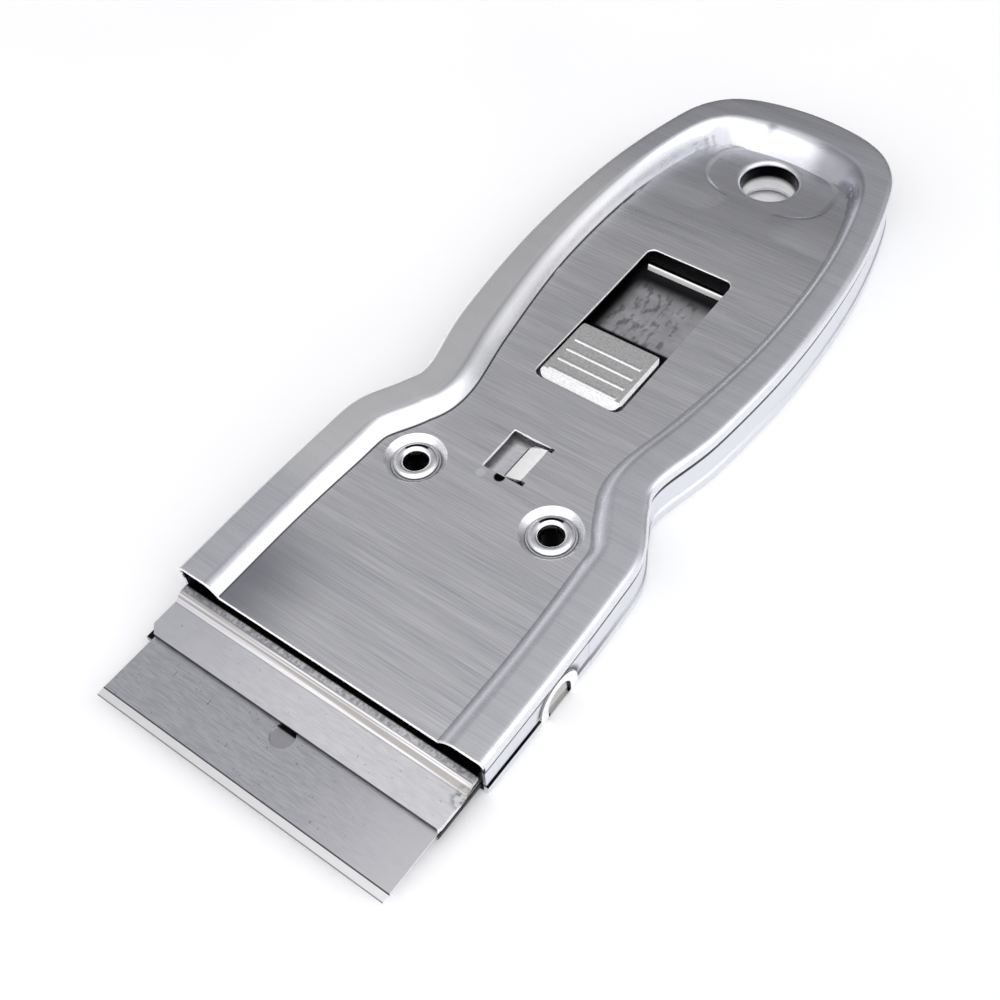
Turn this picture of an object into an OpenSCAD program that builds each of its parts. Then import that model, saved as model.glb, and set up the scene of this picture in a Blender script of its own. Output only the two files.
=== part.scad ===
// Retractable razor blade scraper. Two stamped steel shells, held together by
// two eyelets, form a flat housing. A carriage slides in it and carries the
// blade between its jaw strip and a lower jaw. A ribbed thumb button on the
// carriage stands in the slot of the upper shell.
// The housing front is at y = 0 and the upper panel at z = 0 in the working
// frame; the last lines move the whole to the middle of its own box.

/* [Housing] */
// length of the housing from the open front to the tail
body_len = 99.1; // [84:0.1:115]
// width of the housing at the open front
body_w = 40.6; // [35:0.1:46]
// thickness of the shell sheet
sheet_t = 0.4; // [0.35:0.05:0.45]
// height of the rim crest over the lip
rim_h = 1.2; // [1:0.05:1.5]
// radius of the outer edge of the rim
rim_edge_r = 0.78; // [0.6:0.02:0.9]
// width of the raised rim at the open front
rim_w = 5.75; // [5:0.05:6]
// rise of the lip from the front to the tail
lip_rise = 2; // [1.2:0.1:2.4]
// setback of the lower shell's wall behind the upper lip
wall_inset = 0.15; // [0.1:0.05:0.2]
// height of the shadow groove under the lip
seam_groove = 0.3; // [0.2:0.05:0.4]
// depth of the crease over the lower bead
crease_d = 0.2; // [0.1:0.02:0.2]
// height of the lower bead
bead_h = 1.8; // [1.6:0.05:2]
// height of the lower rim under the floor
lower_rim_h = 0.7; // [0.5:0.05:0.9]

/* [Upper openings] */
// reach of the carriage tongue under each side of the thumb slot
slot_lap = 1.4; // [1.2:0.05:2]
// corner radius of the thumb slot
slot_r = 1.1; // [0.5:0.1:1.5]
// width of the window
window_w = 4.9; // [4.4:0.1:5.2]
// length of the window
window_l = 6.2; // [5.6:0.1:6.4]
// distance of the window behind the eyelets
window_setback = 3.3; // [3:0.1:4]
// size of the relief notches at the root of the window tab
relief = 0.6; // [0.5:0.1:0.9]
// gap between the window tab and the carriage
tab_gap = 0.2; // [0.15:0.05:0.3]

/* [Eyelets] */
// distance of the waist behind the eyelets
shoulder_l = 10.8; // [10.4:0.1:12]
// flat land between the rim and the dimple of an eyelet
dimple_land = 1.68; // [1.2:0.02:2]
// radius of the eyelet flange
flange_r = 2.63; // [2.4:0.01:2.7]
// height of the eyelet flange
flange_h = 0.5; // [0.4:0.02:0.6]
// radius of the eyelet bore
eyelet_bore_r = 1.4; // [1.2:0.05:1.5]
// wall of the eyelet tube
eyelet_wall = 0.3; // [0.25:0.05:0.4]
// outer radius of the dimple round an eyelet
dimple_r = 3.6; // [3.4:0.05:3.8]
// flat seat left beside the flange in a dimple
seat_rim = 0.2; // [0.1:0.05:0.3]
// depth of the dimple
dimple_d = 0.7; // [0.5:0.02:0.76]

/* [Hanging hole] */
// radius of the hanging hole
hang_r = 3.6; // [3:0.05:4]
// flat land between the tail rim and the hole
hang_land = 0.15; // [0.15:0.05:1]
// radius of the turned edge of the hole
hang_edge_r = 0.75; // [0.6:0.05:0.9]

/* [Side arches] */
// distance of the side arches from the housing front
arch_y = 11.9; // [11:0.1:13]
// outer radius of the arch band
arch_r = 3.1; // [2.8:0.1:3.1]
// width of the arch band
arch_band = 1.2; // [1:0.1:1.5]

/* [Carriage and blade] */
// gap between the upper panel and the carriage plate
plate_gap = 1; // [0.9:0.05:1.2]
// thickness of the carriage plate
carriage_t = 0.6; // [0.5:0.05:0.7]
// drop from the carriage plate to the jaw strip
joggle = 0.85; // [0.7:0.05:1]
// reach of the jaw strip ahead of the housing
strip_reach = 6.5; // [6.3:0.1:7]
// foot of the joggle ahead of the housing
joggle_foot = 2.25; // [2:0.05:2.5]
// head of the joggle ahead of the housing
joggle_head = 1.2; // [1:0.05:1.4]
// gap between the jaws and the side walls
side_gap = 0.2; // [0.15:0.05:0.3]
// step from the jaw width to the plate width
plate_step = 0.4; // [0.3:0.05:0.6]
// edge of the wide plate behind the jaw rivets
plate_edge = 0.5; // [0.4:0.05:0.8]
// gap between the retracted plate and the eyelets
plate_stop = 1.2; // [0.9:0.05:1.4]
// gap between the tongue end and the rear of the thumb slot
tongue_gap = 0.28; // [0.2:0.02:2]
// outer radius of the rolled tongue end
roll_r = 1; // [0.8:0.05:1.2]
// fillet radius at the root of the tongue
root_r = 2; // [1.5:0.1:3]
// corner radius of the jaw strip
strip_r = 0.4; // [0.2:0.1:0.8]
// cut across the left corner of the jaw strip
strip_clip = 1; // [0.8:0.1:1.2]
// play of the blade across the jaws
blade_play = 1; // [0.6:0.05:1.2]
// setback of the blade from the right end of the jaws
blade_inset = 0.1; // [0.05:0.05:0.2]
// depth of the blade from edge to back
blade_l = 19; // [18.6:0.1:19.2]
// thickness of the blade
blade_t = 0.25; // [0.2:0.01:0.3]
// reach of the cutting edge ahead of the housing
blade_reach = 14.8; // [12.5:0.1:15.6]
// length of the ground bevel
bevel_l = 0.95; // [0.8:0.05:1.5]
// radius of the hole in the blade
blade_hole_r = 1.4; // [1.2:0.05:1.5]
// distance of the blade hole behind the cutting edge
blade_hole_setback = 7.4; // [7:0.05:7.8]
// distance of the retracted edge behind the housing front
edge_tuck = 0.1; // [0.1:0.05:0.3]

/* [Lower jaw] */
// thickness of the lower jaw
jaw_t = 0.6; // [0.5:0.05:0.7]
// lead of the lower jaw ahead of the jaw strip
jaw_lead = 0.4; // [0.2:0.05:0.6]
// width of the middle tongue of the lower jaw
jaw_tongue_w = 8; // [6:0.1:10]
// reach of the middle tongue ahead of the jaw strip
jaw_tongue_l = 2.7; // [2.5:0.1:3]
// setback of the rear flange from the sides of the lower jaw
flange_inset = 2.25; // [2:0.05:3]
// gap between the lower jaw and the housing floor
floor_gap = 0.35; // [0.3:0.05:0.5]
// distance of each jaw rivet from the side of the rear flange
rivet_inset = 2.5; // [2:0.05:3]
// radius of the rivet shanks
rivet_r = 0.9; // [0.7:0.05:1]
// radius of the rivet heads
rivet_head_r = 1.5; // [1.3:0.05:1.6]
// height of the rivet heads
rivet_head_h = 0.3; // [0.2:0.05:0.35]

/* [Thumb button] */
// length of the button
button_l = 9.7; // [9:0.1:10]
// gap between the button and the front of the slot
button_front_gap = 0.34; // [0.3:0.02:0.5]
// gap behind the retracted button
button_rear_gap = 0.5; // [0.3:0.02:0.7]
// gap beside the button
button_side_gap = 0.4; // [0.3:0.02:0.6]
// rise of the button over the upper panel
button_rise = 0.3; // [0.2:0.05:0.6]
// run of the front slope
button_slope_l = 1; // [0.8:0.05:1.2]
// fall of the front slope
button_slope_h = 0.7; // [0.5:0.05:0.8]
// size of the bevels along the sides and the rear
button_bevel = 0.35; // [0.2:0.05:0.4]
// corner radius of the button
button_r = 1.2; // [0.5:0.1:1.6]
// distance between the ribs
rib_pitch = 1.76; // [1.6:0.02:1.8]
// radius of the ribs
rib_r = 0.3; // [0.2:0.02:0.35]
// setback of the ribs from the sides
rib_inset = 1; // [0.5:0.05:1.2]
// depth of the rivet in the button
rivet_grip = 0.8; // [0.6:0.05:0.9]

/* [Hidden] */
$fn = 32;
// overrun of every cut
over = 1;
// overlap of the pressed forms and the flat panels
lap = 0.1;
// control points of the outline: length share, half-width share, rim width share; the length
// share counts 0 to 1 from the front to the waist, 1 to 2 along the handle, 2 to 3 round the tail
outline_shares = [
    [0, 1, 1],
    [0.325, 1, 1],
    [0.596, 0.99, 1.04],
    [0.764, 0.963, 1.035],
    [0.905, 0.832, 1.04],
    [1, 0.785, 1.04],
    [1.232, 0.881, 1.08],
    [1.616, 0.939, 0.955],
    [2, 0.9035, 0.87],
    [2.519, 0.79, 0.87],
    [2.792, 0.663, 1.045],
    [2.944, 0.426, 1.17],
    [3, 0, 1.2]
];
// length of the rounded tail as a share of the housing width
tail_share = 0.5715;
// share of the rim that is level before it slopes to the panel
crest_share = 0.6;
// share of the free length between the window and the hanging hole that lies ahead of the slot
slot_share = 0.361;
last_control = len(outline_shares) - 1;
steps = 4;
half_stations = last_control * steps;
stations = 2 * half_stations;
arc_steps = 3;
slope_steps = 4;
roll_steps = 6;

travel = blade_reach + edge_tuck;
slot_l = button_front_gap + button_l + travel + button_rear_gap;
hang_seat_r = hang_r + hang_edge_r;
hang_y = body_len - outline_shares[last_control][2] * rim_w - hang_land - hang_seat_r;
tail_y = body_len - tail_share * body_w;
plate_top = -sheet_t - plate_gap;
plate_bottom = plate_top - carriage_t;
strip_top = plate_top - joggle;
strip_bottom = strip_top - carriage_t;
jaw_top = strip_bottom - blade_t;
jaw_bottom = jaw_top - jaw_t;
floor_top = jaw_bottom - floor_gap;
floor_bottom = floor_top - sheet_t;
base = floor_bottom - lower_rim_h;
crease_z = base + bead_h;
jaw_half = body_w / 2 - wall_inset - sheet_t - side_gap;
plate_half = jaw_half - plate_step;
flange_half = jaw_half - flange_inset;
rivet_x = flange_half - rivet_inset;
blade_w = 2 * jaw_half - blade_play;
blade_shift = blade_play / 2 - blade_inset;
blade_back = blade_l - blade_reach;
flange_l = jaw_t + 2 * rivet_head_r;
rivet_y = blade_back + jaw_t + rivet_head_r;
plate_rear = blade_back + flange_l + plate_edge;
shank_r = eyelet_bore_r + eyelet_wall;
eyelet_x = body_w / 2 - rim_w - dimple_r - dimple_land;
eyelet_y = plate_rear + travel + plate_stop + shank_r;
waist_y = eyelet_y + shoulder_l;
window_y = eyelet_y + window_setback;
window_rear = window_y + window_l;
tongue_half = eyelet_x - shank_r - side_gap;
slot_w = 2 * (tongue_half - slot_lap);
slot_y = window_rear + slot_share * (hang_y - hang_seat_r - window_rear - slot_l);
slot_rear = slot_y + slot_l;
tongue_rear = min(slot_rear - tongue_gap, hang_y - hang_r - sheet_t - side_gap - travel) - roll_r;
button_half = slot_w / 2 - button_side_gap;
button_front = slot_y + button_front_gap;
button_rear = button_front + button_l;
button_top = button_rise;
button_mid = (button_front + button_rear) / 2;
middle_y = (body_len - blade_reach) / 2;

// Distance from the housing front at a length share of the outline.
function outline_y(s) =
    s < 1 ? s * waist_y :
    s < 2 ? waist_y + (s - 1) * (tail_y - waist_y) :
    tail_y + (s - 2) * (body_len - tail_y);

// Control point number i as half width, distance and rim width; the curve goes on mirrored
// past the open front and past the tail.
function control(i) =
    i < 0 ? let (c = control(-i)) [c[0], -c[1], c[2]] :
    i > last_control ? let (c = control(2 * last_control - i)) [-c[0], c[1], c[2]] :
    let (s = outline_shares[i]) [s[1] * body_w / 2, outline_y(s[0]), s[2] * rim_w];

// Smooth curve through the control points; each slope is half the step between neighbours.
function curve(i, t) =
    let (a = control(i), b = control(i + 1))
    let (ma = (b - control(i - 1)) / 2, mb = (control(i + 2) - a) / 2)
    a + ma * t + (3 * (b - a) - 2 * ma - mb) * t * t + (2 * (a - b) + ma + mb) * t * t * t;

// Station j of the outline, counted from the right front round the tail to the left front.
function half_station(j) =
    let (i = min(floor(j / steps), last_control - 1))
    curve(i, (j - i * steps) / steps);
function station(j) =
    j < 0 ? let (s = half_station(-j)) [s[0], -s[1], s[2]] :
    j > stations ? let (s = half_station(j - stations)) [-s[0], -s[1], s[2]] :
    j > half_stations ? let (s = half_station(stations - j)) [-s[0], s[1], s[2]] :
    half_station(j);
// Inward direction at station j.
function inward(j) =
    let (d = station(j + 1) - station(j - 1))
    let (n = norm([d[0], d[1]]))
    [-d[1] / n, d[0] / n];
// Height of the lip at station j.
function lip(j) = lip_rise * station(j)[1] / body_len;

// Section of the upper shell at station j: distance inward and height, sheet thickness s deep.
function upper_line(j, s) =
    let (top = lip(j) + rim_h, r = rim_edge_r, w = station(j)[2])
    concat(
        [[s, lip(j)]],
        [for (k = [0 : arc_steps]) let (a = 90 * k / arc_steps)
            [r - (r - s) * cos(a), top - r + (r - s) * sin(a)]],
        [for (k = [0 : slope_steps]) let (t = k / slope_steps)
            [w * (t + (1 - t) * crest_share), top * (1 - t * t) - s]],
        [[w + lap, -s]]
    );
// Section of the lower shell at station j: down the inside to the floor, back along the outside.
function lower_line(j) =
    let (w = station(j)[2], wall = wall_inset + sheet_t, r = rim_edge_r, h = lip(j))
    concat(
        [for (z = [h, h - seam_groove, crease_z + crease_d, crease_z, crease_z - crease_d]) [wall, z]],
        [for (k = [0 : arc_steps]) let (a = 90 * k / arc_steps)
            [wall + (r - sheet_t) * (1 - cos(a)), base + sheet_t + (r - sheet_t) * (1 - sin(a))]],
        [[w * crest_share, base + sheet_t]],
        [[w, floor_top]],
        [[w + lap, floor_top]],
        [[w + lap, floor_bottom]],
        [[w, floor_bottom]],
        [[w * crest_share, base]],
        [for (k = [arc_steps : -1 : 0]) let (a = 90 * k / arc_steps)
            [r * (1 - cos(a)), base + r * (1 - sin(a))]],
        [[0, crease_z - crease_d]],
        [[wall_inset + crease_d, crease_z]],
        [[wall_inset, crease_z + crease_d]],
        [[wall_inset, h - seam_groove]],
        [[sheet_t, h]]
    );
// A line of a section set at its place on the outline.
function placed(j, line) =
    let (s = station(j), n = inward(j))
    [for (p = line) [s[0] + n[0] * p[0], s[1] + n[1] * p[0], p[1]]];

// Rim swept along the outline: each section is one closed line, out along one face of the
// sheet and back along the other, so that the end faces are quads across the sheet.
module swept_rim(sections) {
    m = len(sections[0]);
    polyhedron(
        points = [for (line = sections) for (p = line) p],
        faces = concat(
            [for (j = [0 : stations - 1]) for (i = [0 : m - 1])
                let (p = j * m + i, q = j * m + (i + 1) % m)
                [p, q, p + m]],
            [for (j = [0 : stations - 1]) for (i = [0 : m - 1])
                let (p = j * m + i, q = j * m + (i + 1) % m)
                [q, q + m, p + m]],
            [for (i = [0 : m / 2 - 2]) [m - 1 - i, m - 2 - i, i + 1, i]],
            [for (i = [0 : m / 2 - 2]) let (e = stations * m)
                [e + i, e + i + 1, e + m - 2 - i, e + m - 1 - i]]
        )
    );
}

// Flat area inside the rim, which laps over its border.
module panel_area() {
    polygon([for (j = [0 : stations]) let (p = placed(j, [[station(j)[2] + lap / 2, 0]])[0])
        [p[0], p[1]]]);
}

// Flat outline with rounded corners, in the middle across and starting at y = 0.
module round_rect(w, l, r) {
    translate([-w / 2 + r, 0]) square([w - 2 * r, l]);
    translate([-w / 2, r]) square([w, l - 2 * r]);
    for (side = [-1, 1], y = [r, l - r])
        translate([side * (w / 2 - r), y]) circle(r);
}

// Prism across X of an outline drawn as length and height.
module across(w) {
    rotate([90, 0, 90]) linear_extrude(w, center = true) children();
}

// Dimple of the upper shell that seats an eyelet flange.
module dimple() {
    seat = flange_r + seat_rim;
    rotate_extrude() polygon([
        [shank_r, -dimple_d],
        [seat, -dimple_d],
        [dimple_r, 0],
        [dimple_r + lap, 0],
        [dimple_r + lap, -sheet_t],
        [dimple_r, -sheet_t],
        [seat, -dimple_d - sheet_t],
        [shank_r, -dimple_d - sheet_t]
    ]);
}

// Turned edge of the hanging hole and its collar, which stands on the floor of the lower shell.
module hang_collar_ring() {
    rotate_extrude() {
        translate([hang_seat_r, -hang_edge_r]) intersection() {
            difference() {
                circle(hang_edge_r);
                circle(hang_edge_r - sheet_t);
            }
            translate([-hang_edge_r, 0]) square(hang_edge_r);
        }
        translate([hang_r, floor_top]) square([sheet_t, -hang_edge_r - floor_top]);
        translate([hang_seat_r, -sheet_t]) square([lap, sheet_t]);
    }
}

// Tab of the window: bent down from the right edge, with cut corners.
module window_tab() {
    drop = plate_gap - tab_gap;
    intersection() {
        translate([0, window_rear, 0]) rotate([90, 0, 0]) linear_extrude(window_l) polygon([
            [window_w / 2 + lap, 0],
            [window_w / 2, 0],
            [0, -drop],
            [0, -drop - sheet_t],
            [window_w / 2, -sheet_t],
            [window_w / 2 + lap, -sheet_t]
        ]);
        translate([0, 0, -drop - sheet_t - over]) linear_extrude(drop + sheet_t + 2 * over) polygon([
            [0, window_y + relief + sheet_t],
            [relief, window_y + sheet_t],
            [window_w / 2 - relief, window_y + sheet_t],
            [window_w / 2, window_y + relief + sheet_t],
            [window_w / 2 + lap, window_y + relief + sheet_t],
            [window_w / 2 + lap, window_rear - relief - sheet_t],
            [window_w / 2, window_rear - relief - sheet_t],
            [window_w / 2 - relief, window_rear - sheet_t],
            [relief, window_rear - sheet_t],
            [0, window_rear - relief - sheet_t]
        ]);
    }
}

// Openings of the upper panel: thumb slot, window with its relief notches, dimples, hanging hole.
module upper_openings() {
    translate([0, slot_y]) round_rect(slot_w, slot_l, slot_r);
    translate([-window_w / 2, window_y]) square([window_w, window_l]);
    for (y = [window_y, window_rear - relief])
        translate([window_w / 2 - relief, y]) square([2 * relief, relief]);
    for (side = [-1, 1])
        translate([side * eyelet_x, eyelet_y]) circle(dimple_r + lap / 2);
    translate([0, hang_y]) circle(hang_seat_r + lap / 2);
}

// Upper shell: stamped sheet with a hollow rim, thumb slot, window and eyelet dimples.
module upper_shell() color([0.72, 0.73, 0.76]) {
    swept_rim([for (j = [0 : stations]) placed(j, concat(upper_line(j, 0),
        [for (i = [arc_steps + slope_steps + 3 : -1 : 0]) upper_line(j, sheet_t)[i]]))]);
    translate([0, 0, -sheet_t]) linear_extrude(sheet_t) difference() {
        panel_area();
        upper_openings();
    }
    for (side = [-1, 1])
        translate([side * eyelet_x, eyelet_y, 0]) dimple();
    translate([0, hang_y, 0]) hang_collar_ring();
    window_tab();
}

// Band of a side arch: half ring with straight legs, drawn as length and height.
module arch_shape(r) {
    translate([arch_y, crease_z]) {
        intersection() {
            circle(r);
            translate([-r, 0]) square([2 * r, r]);
        }
        translate([-r, base - crease_z]) square([2 * r, crease_z - base]);
    }
}

// Lower shell: deeper tray with a beaded foot, eyelet holes and a pressed arch on each side.
module lower_shell() color([0.68, 0.69, 0.72]) {
    wall = wall_inset + sheet_t;
    difference() {
        union() {
            swept_rim([for (j = [0 : stations]) placed(j, lower_line(j))]);
            for (side = [-1, 1])
                translate([side * (body_w - wall) / 2, 0, 0])
                    across(wall) difference() {
                        arch_shape(arch_r);
                        arch_shape(arch_r - arch_band);
                        translate([arch_y - arch_r - over, base - over])
                            square([2 * (arch_r + over), over + rim_edge_r]);
                    }
        }
        for (side = [-1, 1])
            translate([side * (body_w / 2 - wall_inset + over / 2), 0, 0])
                across(over + crease_d) intersection() {
                    arch_shape(arch_r - arch_band);
                    translate([arch_y - arch_r, base + rim_edge_r]) square(2 * arch_r);
                }
    }
    translate([0, 0, floor_bottom]) linear_extrude(floor_top - floor_bottom) difference() {
        panel_area();
        for (side = [-1, 1])
            translate([side * eyelet_x, eyelet_y]) circle(shank_r);
        translate([0, hang_y]) circle(hang_r);
    }
}

// Tubular eyelet with a rolled flange on each shell.
module eyelet(side) {
    middle = (eyelet_bore_r + flange_r) / 2;
    half = (flange_r - eyelet_bore_r) / 2;
    round_r = (half * half + flange_h * flange_h) / (2 * flange_h);
    translate([side * eyelet_x, eyelet_y, 0]) rotate_extrude() {
        intersection() {
            translate([middle, flange_h - dimple_d - round_r]) circle(round_r);
            translate([eyelet_bore_r, -dimple_d]) square([2 * half, flange_h]);
        }
        translate([eyelet_bore_r, floor_bottom]) square([eyelet_wall, -dimple_d - floor_bottom]);
        intersection() {
            translate([middle, floor_bottom - flange_h + round_r]) circle(round_r);
            translate([eyelet_bore_r, floor_bottom - flange_h]) square([2 * half, flange_h]);
        }
    }
}
module eyelet_left() color([0.8, 0.8, 0.82]) eyelet(-1);
module eyelet_right() color([0.8, 0.8, 0.82]) eyelet(1);

// Carriage seen from above: jaw strip, wide plate and tongue.
module carriage_plan() {
    difference() {
        translate([0, -strip_reach]) round_rect(2 * jaw_half, strip_reach, strip_r);
        polygon([
            [-jaw_half, -strip_reach],
            [-jaw_half + strip_clip, -strip_reach],
            [-jaw_half, -strip_reach + strip_clip]
        ]);
    }
    translate([-plate_half, -joggle_head]) square([2 * plate_half, joggle_head + plate_rear]);
    translate([-tongue_half, 0]) square([2 * tongue_half, tongue_rear + roll_r]);
    for (side = [-1, 1])
        translate([side * (tongue_half + root_r), plate_rear + root_r]) difference() {
            translate([-side * root_r / 2, -root_r / 2]) square(root_r + over, center = true);
            circle(root_r);
            translate([side * root_r, 0]) square(2 * root_r, center = true);
            translate([0, root_r]) square(2 * root_r, center = true);
        }
}
// Point k on the arc of radius r that rolls the tongue end down.
function roll_point(r, k) =
    let (a = 90 * k / roll_steps)
    [tongue_rear + r * sin(a), plate_top - roll_r + r * cos(a)];
// Carriage seen from the side: jaw strip, joggle, plate and rolled end.
module carriage_side() {
    polygon([
        [-strip_reach, strip_top],
        [-joggle_foot, strip_top],
        [-joggle_head, plate_top],
        for (k = [0 : roll_steps]) roll_point(roll_r, k),
        for (k = [roll_steps : -1 : 0]) roll_point(roll_r - carriage_t, k),
        [-joggle_head, plate_bottom],
        [-joggle_foot, strip_bottom],
        [-strip_reach, strip_bottom]
    ]);
}
// Carriage: one sheet whose front is the upper jaw of the blade.
module carriage() color([0.62, 0.62, 0.65]) {
    difference() {
        intersection() {
            across(body_w) carriage_side();
            translate([0, 0, strip_bottom - over])
                linear_extrude(plate_top - strip_bottom + 2 * over) carriage_plan();
        }
        for (side = [-1, 1])
            translate([side * rivet_x, rivet_y, plate_bottom - over])
                cylinder(r = rivet_r, h = carriage_t + 2 * over);
        translate([0, button_mid, plate_bottom - over])
            cylinder(r = rivet_r, h = carriage_t + 2 * over);
    }
}

// Lower jaw: plate under the blade, a stop behind it and a flange under the carriage.
module lower_jaw() color([0.3, 0.3, 0.32]) {
    difference() {
        union() {
            translate([-jaw_half, -strip_reach - jaw_lead, jaw_bottom])
                cube([2 * jaw_half, strip_reach + jaw_lead, jaw_t]);
            translate([-plate_half, 0, jaw_bottom])
                cube([2 * plate_half, blade_back + jaw_t, jaw_t]);
            translate([-jaw_tongue_w / 2, -strip_reach - jaw_tongue_l, jaw_bottom])
                cube([jaw_tongue_w, jaw_tongue_l, jaw_t]);
            translate([-flange_half, blade_back, jaw_bottom])
                cube([2 * flange_half, jaw_t, plate_bottom - jaw_bottom]);
            translate([-flange_half, blade_back, plate_bottom - jaw_t])
                cube([2 * flange_half, flange_l, jaw_t]);
        }
        for (side = [-1, 1])
            translate([side * rivet_x, rivet_y, plate_bottom - jaw_t - over])
                cylinder(r = rivet_r, h = jaw_t + over);
    }
}

// Rivet with a head on each face of a stack of height h under level z.
module rivet(z, h) {
    translate([0, 0, z - h]) cylinder(r = rivet_r, h = h);
    translate([0, 0, z]) cylinder(r = rivet_head_r, h = rivet_head_h);
    translate([0, 0, z - h - rivet_head_h]) cylinder(r = rivet_head_r, h = rivet_head_h);
}
// Two rivets that hold the lower jaw under the carriage.
module jaw_rivets() color([0.7, 0.7, 0.72])
    for (side = [-1, 1])
        translate([side * rivet_x, rivet_y, 0]) rivet(plate_top, carriage_t + jaw_t);

// Single-edge blade with a ground edge and one round hole.
module razor_blade() color([0.75, 0.76, 0.78]) {
    difference() {
        translate([blade_shift, 0, 0]) across(blade_w) polygon([
            [blade_back, strip_bottom],
            [bevel_l - blade_reach, strip_bottom],
            [-blade_reach, (strip_bottom + jaw_top) / 2],
            [bevel_l - blade_reach, jaw_top],
            [blade_back, jaw_top]
        ]);
        translate([blade_shift, blade_hole_setback - blade_reach, jaw_top - over])
            cylinder(r = blade_hole_r, h = blade_t + 2 * over);
    }
}

// Thumb button: ribbed block with a sloped front that stands on the carriage.
module thumb_button() color([0.78, 0.78, 0.78]) {
    difference() {
        union() {
            intersection() {
                across(slot_w) polygon([
                    [button_front, plate_top],
                    [button_front, button_top - button_slope_h],
                    [button_front + button_slope_l, button_top],
                    [button_rear - button_bevel, button_top],
                    [button_rear, button_top - button_bevel],
                    [button_rear, plate_top]
                ]);
                translate([0, button_rear, 0]) rotate([90, 0, 0]) linear_extrude(button_l) polygon([
                    [-button_half, plate_top],
                    [-button_half, button_top - button_bevel],
                    [button_bevel - button_half, button_top],
                    [button_half - button_bevel, button_top],
                    [button_half, button_top - button_bevel],
                    [button_half, plate_top]
                ]);
                translate([0, button_front, plate_top]) linear_extrude(button_top - plate_top)
                    round_rect(2 * button_half, button_l, button_r);
            }
            for (i = [0 : 3])
                translate([0, button_front + button_slope_l + rib_r + i * rib_pitch, button_top - rib_r / 2])
                    across(2 * (button_half - rib_inset)) circle(rib_r);
        }
        translate([0, button_mid, plate_top - over])
            cylinder(r = rivet_r, h = rivet_grip + over);
    }
}
// Rivet that holds the thumb button on the carriage.
module button_rivet() color([0.7, 0.7, 0.72])
    translate([0, button_mid, 0]) {
        translate([0, 0, plate_bottom]) cylinder(r = rivet_r, h = carriage_t + rivet_grip);
        translate([0, 0, plate_bottom - rivet_head_h]) cylinder(r = rivet_head_r, h = rivet_head_h);
    }

// The whole part stands on z = 0 with its box in the middle of x and y.
translate([0, -middle_y, -base]) {
    upper_shell();
    lower_shell();
    eyelet_left();
    eyelet_right();
    carriage();
    lower_jaw();
    jaw_rivets();
    razor_blade();
    thumb_button();
    button_rivet();
}
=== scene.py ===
# %% [markdown]
# # Razor blade scraper
# A flat pocket scraper lies on a white table with its blade out. Its housing is
# two stamped steel shells, joined by two eyelets. The CAD part gives every solid
# its size and place, so it is loaded first and all that follows is fitted to it.
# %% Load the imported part
import math

import bpy
import numpy as np
from mathutils import Matrix


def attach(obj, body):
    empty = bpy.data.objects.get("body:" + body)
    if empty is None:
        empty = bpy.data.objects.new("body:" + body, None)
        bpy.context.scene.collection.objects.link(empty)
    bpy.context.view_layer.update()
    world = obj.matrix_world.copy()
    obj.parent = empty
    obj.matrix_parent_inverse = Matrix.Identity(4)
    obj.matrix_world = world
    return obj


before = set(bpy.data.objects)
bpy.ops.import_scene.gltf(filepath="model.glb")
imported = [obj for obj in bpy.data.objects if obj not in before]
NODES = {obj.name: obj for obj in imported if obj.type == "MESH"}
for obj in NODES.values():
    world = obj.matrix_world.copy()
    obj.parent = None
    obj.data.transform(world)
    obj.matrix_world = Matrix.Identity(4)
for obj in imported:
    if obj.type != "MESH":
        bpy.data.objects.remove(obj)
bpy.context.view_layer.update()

print("CAD nodes:", ", ".join(sorted(NODES)))

# %% [markdown]
# ## Frame of the drawing
# New forms could be drawn in the part's own frame, but its origin is under the
# middle of the tool, where nothing is measured from. So they are drawn in
# millimetres, with y from the open front of the housing and z from the upper
# panel, and one function moves them to the part.
# %% Frame of the drawing
MM = 0.001
MIDDLE_Y, BASE = 42.15, -5.15
ORIGIN = np.array([0, MIDDLE_Y, BASE])


def to_part(points):
    """Millimetres of the drawing to metres of the part: (point - origin) / 1000."""
    return (np.asarray(points) - ORIGIN) * MM


print("front of the panel, in the part's metres:", to_part([0, 0, 0]))

# %% [markdown]
# ## Outline of the housing
# Both shells are stamped to one smooth outline with a waist. It could be traced
# with many points, but a die has no kinks, so it is a curve through a few control
# points, mirrored at the middle. The width of the rim goes along as a third
# coordinate, and the inward direction is the curve's own tangent, turned left.
# %% Outline of the housing
BODY_LEN, BODY_W, RIM_W = 99.1, 40.6, 5.75
WAIST_Y, TAIL_Y = 36.9, 75.9
# Each row is a control point: its place along the body (0 front, 1 waist, 2 start of
# the tail, 3 end), then its shares of the body's half width and of the rim's width.
SHARES = np.array([
    [0, 1, 1], [0.325, 1, 1], [0.596, 0.99, 1.04], [0.764, 0.963, 1.035],
    [0.905, 0.832, 1.04], [1, 0.785, 1.04], [1.232, 0.881, 1.08],
    [1.616, 0.939, 0.955], [2, 0.9035, 0.87], [2.519, 0.79, 0.87],
    [2.792, 0.663, 1.045], [2.944, 0.426, 1.17], [3, 0, 1.2]])


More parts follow.
